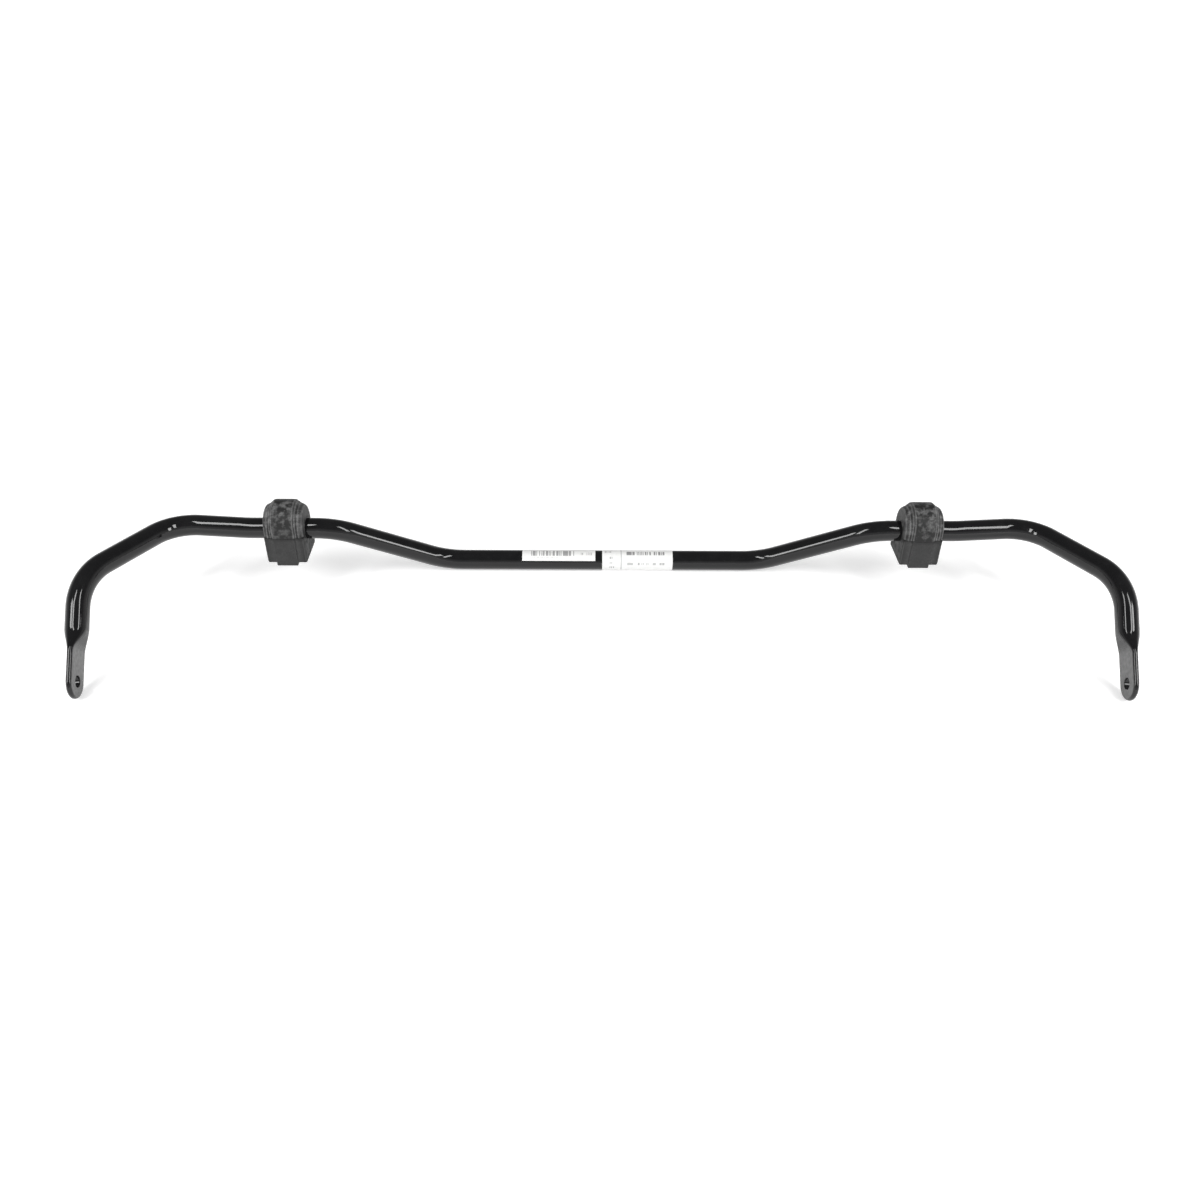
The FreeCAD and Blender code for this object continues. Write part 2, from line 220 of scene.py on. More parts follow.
def mesh_object(name, vertices, faces):
    """An object at the origin whose mesh has these vertices and faces."""
    mesh = bpy.data.meshes.new(name)
    mesh.from_pydata(np.asarray(vertices).tolist(), [], [list(f) for f in faces])
    mesh.validate()
    item = bpy.data.objects.new(name, mesh)
    bpy.context.scene.collection.objects.link(item)
    return item


def tidy_surface(item, merge=0.002 * MM, sharp_angle=35):
    """Merge doubles, point the faces outwards and shade all but sharp edges smooth."""
    surface = bmesh.new()
    surface.from_mesh(item.data)
    bmesh.ops.remove_doubles(surface, verts=surface.verts, dist=merge)
    bmesh.ops.dissolve_degenerate(surface, edges=surface.edges, dist=merge / 4)
    bmesh.ops.recalc_face_normals(surface, faces=surface.faces)
    surface.to_mesh(item.data)
    surface.free()
    item.data.polygons.foreach_set("use_smooth", [True] * len(item.data.polygons))
    item.data.set_sharp_from_angle(angle=math.radians(sharp_angle))
    return item


# %% Rings of the whole bar
def arm_rings(side):
    """Centres, directions, slot sizes and fan angles from the tube's round end to the tip."""
    corners = centre_line_corners(side)
    hole = corners[-1]
    along = unit(hole - corners[-2])
    press = np.linspace(0, 1, PRESS_RINGS)
    press_distance = -(PADDLE_FLAT + FLATTENING) + FLATTENING * press
    flat_distance = np.linspace(-PADDLE_FLAT, 0, FLAT_RINGS)[1:]
    fan = np.radians(np.linspace(0, 90, FAN_RINGS))[1:]
    distance = np.concatenate([press_distance, flat_distance, 0 * fan])
    squeeze = np.concatenate([smooth_step(press), 1 + 0 * flat_distance, 1 + 0 * fan])
    half_width = BAR_RADIUS + (PADDLE_HALF_WIDTH - BAR_RADIUS) * squeeze
    half_thickness = BAR_RADIUS + (PADDLE_HALF_THICKNESS - BAR_RADIUS) * squeeze
    fan_angle = np.concatenate([0 * press, 0 * flat_distance, fan])
    centres = hole + along * distance[:, None]
    directions = np.repeat(along[None], len(distance), 0)
    return centres, directions, half_width, half_thickness, fan_angle


def bar_surface(points=96):
    """Rings from one tip to the other: centre + wide x across + level x over.

    In the fan each place turns about the link hole: its distance across shrinks with the
    cosine of the fan angle, and it moves out by its own reach times the sine.
    """
    left, right = arm_rings(-1), arm_rings(1)
    line = np.concatenate(
        [
            left[0][:1],
            centre_line_corners(-1)[:-1][::-1],
            centre_line_corners(1)[:-1],
            right[0][:1],
        ]
    )
    places, directions = rounded_line(line, BEND_RADII[::-1] + BEND_RADII)
    inner = slice(1, -1)
    tube = np.full(len(places) - 2, BAR_RADIUS)
    centres = np.concatenate([left[0][::-1], places[inner], right[0]])
    heading = np.concatenate([-left[1], directions[inner], right[1]])
    half_width = np.concatenate([left[2][::-1], tube, right[2]])
    half_thickness = np.concatenate([left[3][::-1], tube, right[3]])
    fan = np.concatenate([left[4][::-1], 0 * tube, right[4]])
    outwards = np.concatenate([-np.ones(len(left[0])), 0 * tube, np.ones(len(right[0]))])
    level = unit(np.cross(heading, (0, 0, 1)))
    wide = np.cross(level, heading)
    across, over = slot_ring(half_width, half_thickness, points)
    rim = PADDLE_HALF_WIDTH - PADDLE_HALF_THICKNESS
    reach = rim + np.sqrt(np.maximum(PADDLE_HALF_THICKNESS**2 - over**2, 0))
    forward = reach * np.sin(fan)[:, None] * outwards[:, None]
    across = across * np.cos(fan)[:, None]
    vertices = (
        centres[:, None]
        + wide[:, None] * across[..., None]
        + level[:, None] * over[..., None]
        + heading[:, None] * forward[..., None]
    )
    return vertices.reshape(-1, 3), grid_faces(len(centres), points)


bar_skin = mesh_object("bar_skin", *bar_surface())
tidy_surface(bar_skin)
print("bar surface has", len(bar_skin.data.polygons), "faces")


# %% [markdown]
# The link holes go through the flat ends. A lathe shape with a small flare at each face is
# turned about the hole's own axis and taken away with a Boolean, which leaves the broken
# edge that a drill and a countersink leave.


# %% Link holes
HOLE_FLARE = 0.5 * MM


def lathe_surface(profile, centre, axis, points=64):
    """A profile of (distance along the axis, radius) turned about the axis."""
    profile = np.asarray(profile)
    axis = unit(np.asarray(axis, float))
    side = unit(np.cross(axis, (0.3, 0.2, 0.9)))
    other = np.cross(axis, side)
    angle = np.linspace(0, 2 * math.pi, points, endpoint=False)
    ring = side * np.cos(angle)[:, None] + other * np.sin(angle)[:, None]
    places = (
        np.asarray(centre)
        + axis * profile[:, :1, None].reshape(-1, 1, 1)
        + ring[None] * profile[:, 1].reshape(-1, 1, 1)
    )
    return places.reshape(-1, 3), grid_faces(len(profile), points)


def take_away(item, cutter):
    """Boolean the cutter out of the item, keep the result as the item's own mesh."""
    modifier = item.modifiers.new("cut", "BOOLEAN")
    modifier.operation = "DIFFERENCE"
    modifier.solver = "EXACT"
    modifier.object = cutter
    graph = bpy.context.evaluated_depsgraph_get()
    result = bpy.data.meshes.new_from_object(item.evaluated_get(graph))
    item.modifiers.clear()
    item.data = result
    bpy.data.objects.remove(cutter)


def hole_profile():
    deep = 3 * PADDLE_HALF_THICKNESS
    face = PADDLE_HALF_THICKNESS
    flare = HOLE_FLARE
    return [
        (-deep, 0.0),
        (-deep, LINK_BORE_RADIUS + flare),
        (-face, LINK_BORE_RADIUS + flare),
        (-face + flare, LINK_BORE_RADIUS),
        (face - flare, LINK_BORE_RADIUS),
        (face, LINK_BORE_RADIUS + flare),
        (deep, LINK_BORE_RADIUS + flare),
        (deep, 0.0),
    ]


for side in (-1, 1):
    corners = centre_line_corners(side)
    along = unit(corners[-1] - corners[-2])
    level = unit(np.cross(along, (0, 0, 1)))
    cutter = mesh_object("hole_cutter", *lathe_surface(hole_profile(), corners[-1], level))
    tidy_surface(cutter)
    take_away(bar_skin, cutter)
tidy_surface(bar_skin)
print("bar surface with its holes has", len(bar_skin.data.polygons), "faces")
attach(bar_skin, "bar")
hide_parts("bar")

# %% [markdown]
# ## The rubber bushings
# Each bushing is moulded in two halves that are bonded round the tube. A half is one closed
# surface, made as a grid. One way along the grid follows the outline of the half as it is
# seen along the bar: an arch for the upper half, a box with rounded corners for the lower.
# The other way goes along the outside, over the end face, and back through the bore. At each
# place along the bar the outline only changes its half depth and its reach, so the rounded
# ends, the ribs and the raised band are all in two short formulas.

# %% Sizes of the bushings
BUSHING_HALF_LENGTH = 22.5 * MM
BUSHING_HALF_DEPTH = 23.0 * MM
SHOULDER_TOP = 29.5 * MM
SHOULDER_ROUND = 5.0 * MM
BAND_HALF_WIDTH = 12.0 * MM
BAND_TOP = 35.0 * MM
BAND_RAISE = 1.5 * MM
BAND_EDGE_ROUND = 0.8 * MM
BLOCK_BOTTOM = 33.0 * MM
PAD_BOTTOM = 36.0 * MM
BLOCK_ROUND = 2.0 * MM
SPLIT_HALF_GAP = 0.1 * MM
SPLIT_ROUND = 0.6 * MM
RIB_PLACES = (17.5 * MM, 14.3 * MM)
RIB_HALF_WIDTH = 0.8 * MM
RIB_RAISE = 0.6 * MM
BORE_RADIUS = 12.35 * MM
BORE_MOUTH = 0.5 * MM

print("bushings at", -BUSHING_MIDDLE, "and", BUSHING_MIDDLE)


# %% How the outline changes along the bar
def rounded_end(radius, points=9):
    """Places from an end face inwards, and how far the outline stands back at each."""
    turn = np.radians(np.linspace(0, 90, points))
    return -BUSHING_HALF_LENGTH + radius * (1 - np.cos(turn)), radius * (1 - np.sin(turn))


def mirrored(places, *values):
    """Carry a list of places from one end to the middle on to the other end."""
    return [np.concatenate([places, -places[::-1]])] + [
        np.concatenate([value, value[::-1]]) for value in values
    ]


def upper_reaches():
    """Half depth and top of the upper half at places along the bar.

    The slope beside the band falls as fast as it goes out. The larger of the slope and the
    ribbed shoulder counts.
    """
    end, stand_back = rounded_end(SHOULDER_ROUND)
    slope_start = -BUSHING_HALF_LENGTH + SHOULDER_ROUND
    inner = np.arange(slope_start, -BAND_HALF_WIDTH + 2 * BAND_EDGE_ROUND, 0.16 * MM)[1:]
    places = np.concatenate([end, inner, [-BAND_HALF_WIDTH / 2]])
    stand_back = np.concatenate([stand_back, 0 * inner, [0]])
    rib = np.zeros_like(places)
    for rib_place in RIB_PLACES:
        from_rib = (np.abs(places) - rib_place) / RIB_HALF_WIDTH
        rib = np.maximum(rib, RIB_RAISE * np.sqrt(np.clip(1 - from_rib**2, 0, 1)))
    beyond = np.abs(places) - BAND_HALF_WIDTH
    drop = (beyond + np.hypot(beyond, BAND_EDGE_ROUND)) / 2
    depth = np.maximum(
        BUSHING_HALF_DEPTH - stand_back + rib, BUSHING_HALF_DEPTH + BAND_RAISE - drop
    )
    top = np.maximum(SHOULDER_TOP - stand_back + rib, BAND_TOP - drop)
    return mirrored(places, depth, top)


def lower_reaches():
    """Half depth, bottom and corner radius of the lower half at places along the bar."""
    end, stand_back = rounded_end(BLOCK_ROUND)
    turn = np.radians(np.linspace(0, 90, 6))
    edge = -BAND_HALF_WIDTH + BAND_RAISE / 2 * (1 - np.cos(turn))
    places = np.concatenate([end, [-BAND_HALF_WIDTH - 0.01 * MM], edge])
    stand_back = np.concatenate([stand_back, [0], 0 * turn])
    raised = np.concatenate([0 * end, [0], 0.5 + 0.5 * np.sin(turn)])
    depth = BUSHING_HALF_DEPTH - stand_back + BAND_RAISE * raised
    bottom = BLOCK_BOTTOM - stand_back + (PAD_BOTTOM - BLOCK_BOTTOM) * raised
    corner = BLOCK_ROUND - (BLOCK_ROUND - BAND_RAISE / 2) * raised
    return mirrored(places, depth, bottom, corner)


# %% Outlines of the two halves
def split_edge():
    """Places from the split face on, and how far the side stands back at each."""
    turn = np.radians(np.linspace(0, 90, 5))
    return SPLIT_HALF_GAP + SPLIT_ROUND * (1 - np.cos(turn)), SPLIT_ROUND * (1 - np.sin(turn))


def upper_outline(depth, top):
    """Across and up, for each place along the bar: side, half circle, side."""
    rise, stand_back = split_edge()
    share = np.linspace(0, 1, 7)[1:-1]
    start = (top - depth)[:, None]
    climb = np.concatenate([rise + 0 * start, rise[-1] + (start - rise[-1]) * share], 1)
    side = depth[:, None] - np.concatenate([stand_back, 0 * share])
    angle = np.linspace(0, math.pi, 57)
    across = np.concatenate([-side, -depth[:, None] * np.cos(angle), side[:, ::-1]], 1)
    arch = start + depth[:, None] * np.sin(angle)
    return across, np.concatenate([climb, arch, climb[:, ::-1]], 1)


def lower_outline(depth, bottom, corner):
    """Across and down, for each place along the bar: side, corner, base, corner, side."""
    rise, stand_back = split_edge()
    share = np.linspace(0, 1, 10)[1:-1]
    turn = np.radians(np.linspace(0, 90, 7))
    depth, bottom, corner = depth[:, None], bottom[:, None], corner[:, None]
    last = bottom - corner
    fall = np.concatenate([rise + 0 * last, rise[-1] + (last - rise[-1]) * share], 1)
    side = depth - np.concatenate([stand_back, 0 * share])
    bend = depth - corner * (1 - np.cos(turn))
    half = np.concatenate([side, bend], 1)
    down = np.concatenate([fall, last + corner * np.sin(turn)], 1)
    base = (depth - corner) * np.linspace(-1, 1, 14)[None, 1:-1]
    across = np.concatenate([-half, base, half[:, ::-1]], 1)
    return across, np.concatenate([down, bottom + 0 * base, down[:, ::-1]], 1)


# %% A half as one closed surface
def bushing_half(name, middle, up):
    """The outside from end to end, then back through the bore, for an upper or lower half."""
    if up > 0:
        places, *reaches = upper_reaches()
        across, reach = upper_outline(*reaches)
    else:
        places, *reaches = lower_reaches()
        across, reach = lower_outline(*reaches)
    columns = across.shape[1]
    angle = np.linspace(0, math.pi, columns)
    mouth = BORE_RADIUS + BORE_MOUTH
    deep = BUSHING_HALF_LENGTH - BORE_MOUTH
    bore_places = np.array([BUSHING_HALF_LENGTH, deep, -deep, -BUSHING_HALF_LENGTH])
    bore_radii = np.array([mouth, BORE_RADIUS, BORE_RADIUS, mouth])[:, None]
    bore_reach = np.maximum(bore_radii * np.sin(angle), SPLIT_HALF_GAP)
    places = np.concatenate([places, bore_places])
    across = np.concatenate([across, -bore_radii * np.cos(angle)])
    reach = np.concatenate([reach, bore_reach])
    vertices = np.stack(
        [
            middle + places[:, None] + 0 * across,
            AXIS_DEPTH + across,
            AXIS_HEIGHT + up * reach,
        ],
        -1,
    )
    rows = len(places)
    here = (np.arange(rows) * columns)[:, None] + np.arange(columns - 1)
    after = (np.roll(np.arange(rows), -1) * columns)[:, None] + np.arange(columns - 1)
    sides = np.stack([here, here + 1, after + 1, after], -1).reshape(-1, 4).tolist()
    caps = [(np.arange(rows) * columns + column).tolist() for column in (0, columns - 1)]
    return mesh_object(name, vertices.reshape(-1, 3), sides + caps)


# %% [markdown]
# The ribs, the edges of the band and the end corners are lightened grey: partly rub wear from
# handling, partly a painted highlight along those raised lines. A number for this wear and painted
# highlight is stored at each vertex, from its distance to those lines, and the finish reads it.


# %% Worn edges and painted edge highlights
WEAR_AND_HIGHLIGHT_REACH = 0.9 * MM


def mark_wear_and_highlight(item, middle, up):
    """1 on the raised lines, rubbed and given a painted highlight, falling to 0 beside them."""
    places = np.array([vertex.co[:] for vertex in item.data.vertices])
    from_middle = np.abs(places[:, 0] - middle)
    lines = [*RIB_PLACES, BAND_HALF_WIDTH] if up > 0 else [BAND_HALF_WIDTH]
    lines.append(BUSHING_HALF_LENGTH - BLOCK_ROUND / 2)
    nearest = np.min([np.abs(from_middle - line) for line in lines], axis=0)
    # Lighter along the ribs, band edges and end corners: rub wear plus a painted highlight.
    wear_and_highlight = np.clip(1.3 - nearest / WEAR_AND_HIGHLIGHT_REACH, 0, 1)
    from_split = np.abs(places[:, 2] - AXIS_HEIGHT)
    wear_and_highlight *= np.clip(from_split / SPLIT_ROUND - 1, 0, 1)
    layer = item.data.attributes.new("wear_and_highlight", "FLOAT", "POINT")
    layer.data.foreach_set("value", wear_and_highlight)


rubber_halves = []
for side_name, middle in (("left", -BUSHING_MIDDLE), ("right", BUSHING_MIDDLE)):
    for half_name, up in (("upper", 1), ("lower", -1)):
        half = bushing_half(f"{side_name}_rubber_{half_name}", middle, up)
        tidy_surface(half)
        mark_wear_and_highlight(half, middle, up)
        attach(half, f"{side_name}_bushing")
        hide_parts(f"{side_name}_bushing_{half_name}")
        rubber_halves.append(half)
print("rubber faces", [len(half.data.polygons) for half in rubber_halves])

# %% [markdown]
# ## The labels
# Two paper labels are wrapped on the middle run: a small one on the top, and a large one
# that goes almost all round. Each is a thin closed sheet. Its UV map holds millimetres along
# the bar and round it, measured from the label's own corner, so the printed rows can be
# placed as a printer would place them.


# %% Label sheets
LABEL_OUTSIDE = 12.25 * MM
LABEL_INSIDE = 12.03 * MM
LABEL_RINGS = 12
SMALL_LABEL_START, SMALL_LABEL_SWEEP = 27, 124
LARGE_LABEL_START, LARGE_LABEL_SWEEP = -70, 320


def label_sheet(name, node, start, sweep, steps):
    """Angles run from the front of the tube, up and over it, in degrees."""
    low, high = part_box(node)
    angle = np.radians(np.linspace(start, start + sweep, steps))
    angles = np.concatenate([angle, angle[::-1]])
    radius = np.repeat([LABEL_OUTSIDE, LABEL_INSIDE], steps)
    places = np.linspace(low.x, high.x, LABEL_RINGS)
    ring = np.stack(
        [0 * angles, MIDDLE_DEPTH - radius * np.cos(angles), BAR_RADIUS + radius * np.sin(angles)],
        -1,
    )
    vertices = ring[None] + places[:, None, None] * np.array([1, 0, 0])
    around = 2 * steps
    faces = grid_faces(len(places), around).tolist()
    for base in (0, (len(places) - 1) * around):
        for index in range(steps - 1):
            across = [index, index + 1, around - 2 - index, around - 1 - index]
            faces.append([base + corner for corner in across])
    item = mesh_object(name, vertices.reshape(-1, 3), faces)
    tidy_surface(item)
    uv = item.data.uv_layers.new(name="printing")
    places = np.array([vertex.co[:] for vertex in item.data.vertices])
    turn = np.arctan2(places[:, 2] - BAR_RADIUS, MIDDLE_DEPTH - places[:, 1])
    turn = (turn - math.radians(start) + 0.01) % (2 * math.pi) - 0.01
    flat = np.stack([(places[:, 0] - low.x) / MM, turn * LABEL_OUTSIDE / MM], -1)
    corners = np.array([loop.vertex_index for loop in item.data.loops])
    uv.data.foreach_set("uv", flat[corners].ravel())
    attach(item, "bar")
    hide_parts(node)
    return item


small_label = label_sheet(
    "small_label", "barcode_label", SMALL_LABEL_START, SMALL_LABEL_SWEEP, steps=40
)
large_label = label_sheet(
    "large_label", "wrap_label", LARGE_LABEL_START, LARGE_LABEL_SWEEP, steps=97
)
print("label faces", len(small_label.data.polygons), len(large_label.data.polygons))

# %% [markdown]
# ## Finishes
# Each finish is a Principled shader fed by one small group of nodes, built once and used with
# other numbers in each material. The group makes a surface a little uneven, as all real ones
# are: a fine noise gives its grain, a coarse one gives patches of gloss, and dust lies in the
# patches and on what faces up.


# %% Node helpers
class Nodes:
    """A short way to add and join the nodes of one tree."""

    def __init__(self, tree):
        self.tree = tree

    def add(self, kind, **values):
        """A new node with these socket values, spaces in their names written as _."""
        node = self.tree.nodes.new(kind)
        for name, value in values.items():
            node.inputs[name.replace("_", " ")].default_value = value
        return node

    def join(self, source, target):
        self.tree.links.new(source, target)

    def math(self, operation, *values):
        """A Math node; each value is a number or another node's output."""
        node = self.tree.nodes.new("ShaderNodeMath")
        node.operation = operation
        for socket, value in zip(node.inputs, values):
            if isinstance(value, (int, float)):
                socket.default_value = value
            else:
                self.join(value, socket)
        return node.outputs[0]

    def mix(self, share, first, second):
        """A colour between two others; each value is a constant or another node's output."""
        node = self.tree.nodes.new("ShaderNodeMix")
        node.data_type = "RGBA"
        for name, value in (("Factor_Float", share), ("A_Color", first), ("B_Color", second)):
            socket = next(s for s in node.inputs if s.identifier == name)
            if isinstance(value, (int, float, tuple)):
                socket.default_value = value
            else:
                self.join(value, socket)
        return next(s for s in node.outputs if s.identifier == "Result_Color")


def new_material(name, **values):
    """A material, a helper for its nodes, and its Principled shader with these values."""
    material = bpy.data.materials.new(name)
    material.use_nodes = True
    shader = material.node_tree.nodes["Principled BSDF"]
    for socket, value in values.items():
        shader.inputs[socket.replace("_", " ")].default_value = value
    return material, Nodes(material.node_tree), shader


def set_material(item, material):
    item.data.materials.clear()
    item.data.materials.append(material)


# %% The uneven skin
def make_uneven_skin():
    """Inputs set the scales, the range of the gloss, and how much dust lies on top."""
    tree = bpy.data.node_groups.new("uneven_skin", "ShaderNodeTree")
    for socket, kind in (
        ("Colour", "NodeSocketColor"),
        ("Dust Colour", "NodeSocketColor"),
        ("Dust", "NodeSocketFloat"),
        ("Wear And Painted Light", "NodeSocketFloat"),
        ("Fine Scale", "NodeSocketFloat"),
        ("Coarse Scale", "NodeSocketFloat"),
        ("Smoothest", "NodeSocketFloat"),
        ("Roughest", "NodeSocketFloat"),
    ):
        tree.interface.new_socket(socket, in_out="INPUT", socket_type=kind)
    tree.interface.new_socket("Color", in_out="OUTPUT", socket_type="NodeSocketColor")
    tree.interface.new_socket("Roughness", in_out="OUTPUT", socket_type="NodeSocketFloat")
    tree.interface.new_socket("Height", in_out="OUTPUT", socket_type="NodeSocketFloat")
    nodes = Nodes(tree)
    come, go = nodes.add("NodeGroupInput"), nodes.add("NodeGroupOutput")
    place = nodes.add("ShaderNodeTexCoord")
    fine = nodes.add("ShaderNodeTexNoise", Detail=3.0)
    coarse = nodes.add("ShaderNodeTexNoise", Detail=5.0, Roughness=0.6)
    for texture, scale in ((fine, "Fine Scale"), (coarse, "Coarse Scale")):
        nodes.join(place.outputs["Object"], texture.inputs["Vector"])
        nodes.join(come.outputs[scale], texture.inputs["Scale"])
    patch = nodes.add("ShaderNodeMapRange", From_Min=0.45, From_Max=0.62)
    nodes.join(coarse.outputs["Fac"], patch.inputs["Value"])
    gloss = nodes.add("ShaderNodeMapRange")
    nodes.join(patch.outputs[0], gloss.inputs["Value"])
    nodes.join(come.outputs["Smoothest"], gloss.inputs["To Min"])
    nodes.join(come.outputs["Roughest"], gloss.inputs["To Max"])
    facing = nodes.add("ShaderNodeSeparateXYZ")
    nodes.join(place.outputs["Normal"], facing.inputs[0])
    upwards = nodes.math("MULTIPLY_ADD", facing.outputs["Z"], 0.45, 0.55)
    grain = nodes.math("MULTIPLY_ADD", fine.outputs["Fac"], 0.8, 0.2)
    dust = nodes.math("MULTIPLY", patch.outputs[0], come.outputs["Dust"])
    dust = nodes.math("MULTIPLY", dust, upwards)
    # Adds the grey from the wear input: edge wear and scuffing, with painted highlights and a
    # painted floor reflection.
    dust = nodes.math("ADD", dust, come.outputs["Wear And Painted Light"])
    dust = nodes.math("MULTIPLY", dust, grain)
    colour = nodes.mix(dust, come.outputs["Colour"], come.outputs["Dust Colour"])
    nodes.join(colour, go.inputs["Color"])
    nodes.join(gloss.outputs[0], go.inputs["Roughness"])
    nodes.join(fine.outputs["Fac"], go.inputs["Height"])
    return tree


UNEVEN_SKIN = make_uneven_skin()


def finish_with_skin(name, bump_strength, bump_depth, skin_values, **shader_values):
    """A material whose colour, roughness and bump come from the uneven skin."""
    material, nodes, shader = new_material(name, **shader_values)
    skin = nodes.tree.nodes.new("ShaderNodeGroup")
    skin.node_tree = UNEVEN_SKIN
    for socket, value in skin_values.items():
        skin.inputs[socket].default_value = value
    nodes.join(skin.outputs["Color"], shader.inputs["Base Color"])
    nodes.join(skin.outputs["Roughness"], shader.inputs["Roughness"])
    bump = nodes.add("ShaderNodeBump", Strength=bump_strength, Distance=bump_depth)
    nodes.join(skin.outputs["Height"], bump.inputs["Height"])
    nodes.join(bump.outputs[0], shader.inputs["Normal"])
    return material, nodes, skin


print("group", UNEVEN_SKIN.name, "has", len(UNEVEN_SKIN.nodes), "nodes")

# %% [markdown]
# Gloss black paint on steel: a dark base under a smooth skin with a faint ripple, as baked
# powder paint has. The flat ends are greyed: partly scuffing, partly a painted reflection of the
# white floor that their faces turn towards. Two masks find those faces, one by how far forward
# they lie and one by which way they face, and their product greys the paint there.

# %% Paint
FLAT_START_DEPTH = -60.0 * MM
FLAT_FULL_DEPTH = -85.0 * MM
FLAT_SCUFF_AND_REFLECTION = 0.7

black_paint, nodes, skin = finish_with_skin(
    "gloss_black_paint",
    0.12,
    0.0002,
    {
        "Colour": (0.005, 0.005, 0.0055, 1),
        "Dust Colour": (0.20, 0.20, 0.20, 1),
        "Dust": 0.02,
        "Fine Scale": 240.0,
        "Coarse Scale": 60.0,
        "Smoothest": 0.04,
        "Roughest": 0.09,
    },
    Specular_IOR_Level=0.42,
)
where = nodes.add("ShaderNodeTexCoord")
depth = nodes.add("ShaderNodeSeparateXYZ")
facing = nodes.add("ShaderNodeSeparateXYZ")
nodes.join(where.outputs["Object"], depth.inputs[0])
nodes.join(where.outputs["Normal"], facing.inputs[0])
on_end = nodes.add("ShaderNodeMapRange", From_Min=FLAT_START_DEPTH, From_Max=FLAT_FULL_DEPTH)
on_flat = nodes.add("ShaderNodeMapRange", From_Min=0.90, From_Max=0.99)
nodes.join(depth.outputs["Y"], on_end.inputs["Value"])
nodes.join(nodes.math("ABSOLUTE", facing.outputs["X"]), on_flat.inputs["Value"])
# Grey on the flat end faces: scuffing mixed with a painted reflection of the white floor.
scuffed_and_reflecting = nodes.math("MULTIPLY", on_end.outputs[0], on_flat.outputs[0])
nodes.join(nodes.math("MULTIPLY", scuffed_and_reflecting, FLAT_SCUFF_AND_REFLECTION), skin.inputs["Wear And Painted Light"])
set_material(bar_skin, black_paint)
print("paint has", len(black_paint.node_tree.nodes), "nodes")

# %% [markdown]
# The rubber is a dull black with a chalky bloom in patches. The upper halves carry more of it
# than the lower ones, so one function makes both finishes from two strengths. The stored edge
# number lightens the ribs and edges: partly rub wear, partly a painted highlight.


# %% Rubber
def dusty_rubber(name, dust, rubbed_and_lit):
    """Dull black rubber; dust is how far the patches go to grey, the last number how far the ribs
    and edges do, by rub wear and a painted highlight.
    """
    material, nodes, skin = finish_with_skin(
        name,
        0.6,
        0.0005,
        {
            "Colour": (0.013, 0.013, 0.013, 1),
            "Dust Colour": (0.25, 0.25, 0.25, 1),
            "Dust": dust,
            "Fine Scale": 800.0,
            "Coarse Scale": 140.0,
            "Smoothest": 0.5,
            "Roughest": 0.8,
        },
        Specular_IOR_Level=0.25,
    )
    # Reads the edge lightening: rub wear plus a painted highlight on the raised lines.
    wear_and_highlight = nodes.add("ShaderNodeAttribute")
    wear_and_highlight.attribute_name = "wear_and_highlight"
    nodes.join(nodes.math("MULTIPLY", wear_and_highlight.outputs["Fac"], rubbed_and_lit), skin.inputs["Wear And Painted Light"])
    return material


upper_rubber = dusty_rubber("dusty_black_rubber", 0.75, 0.50)
lower_rubber = dusty_rubber("cleaner_black_rubber", 0.16, 0.24)
for half in rubber_halves:
    set_material(half, upper_rubber if "upper" in half.name else lower_rubber)
print("rubber finishes", upper_rubber.name, lower_rubber.name)

# %% [markdown]
# The shells and the adhesive inside the bushings hardly show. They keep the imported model's own
# shapes, and get the same skin as a grey plastic and a dark glue.

# %% Plastic and glue
shell_plastic, *_ = finish_with_skin(
    "grey_shell_plastic",
    0.2,
    0.0002,
    {
        "Colour": (0.10, 0.10, 0.11, 1),
        "Dust Colour": (0.2, 0.2, 0.2, 1),
        "Dust": 0.2,
        "Fine Scale": 700.0,
        "Coarse Scale": 60.0,
        "Smoothest": 0.4,
        "Roughest": 0.6,
    },
)
dark_glue, *_ = finish_with_skin(
    "dark_glue",
    0.3,
    0.0002,
    {
        "Colour": (0.012, 0.011, 0.010, 1),
        "Dust Colour": (0.05, 0.05, 0.05, 1),
        "Dust": 0.3,
        "Fine Scale": 500.0,
        "Coarse Scale": 80.0,
        "Smoothest": 0.3,
        "Roughest": 0.5,
    },
)
for name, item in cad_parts.items():
    if "insert" in name:
        set_material(item, shell_plastic)
    if "film" in name:
        set_material(item, dark_glue)
print("painted", len(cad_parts), "nodes")

# %% [markdown]
# The labels' paper is white with a slight sheen. Printing is only hinted at: a row is a strip
# of the paper cut into narrow cells, and a random number for each cell says whether it is
# inked. It can't be read, and isn't meant to say anything.


# %% Printed paper
PAPER_LIGHT = (0.84, 0.84, 0.83, 1)
PAPER_DARK = (0.74, 0.74, 0.73, 1)
INK = (0.03, 0.03, 0.035, 1)


def printed_row(nodes, uv, left, right, low, high, cell, inked):
    """1 in the inked cells of a strip, 0 elsewhere. Sizes are in millimetres."""
    across, around = uv.outputs["X"], uv.outputs["Y"]
    mask = nodes.math("GREATER_THAN", across, left)
    for test in (
        nodes.math("LESS_THAN", across, right),
        nodes.math("GREATER_THAN", around, low),
        nodes.math("LESS_THAN", around, high),
    ):
        mask = nodes.math("MULTIPLY", mask, test)
    number = nodes.math("FLOOR", nodes.math("DIVIDE", across, cell))
    chance = nodes.tree.nodes.new("ShaderNodeTexWhiteNoise")
    chance.noise_dimensions = "1D"
    nodes.join(nodes.math("ADD", number, low), chance.inputs["W"])
    return nodes.math("MULTIPLY", mask, nodes.math("LESS_THAN", chance.outputs["Value"], inked))


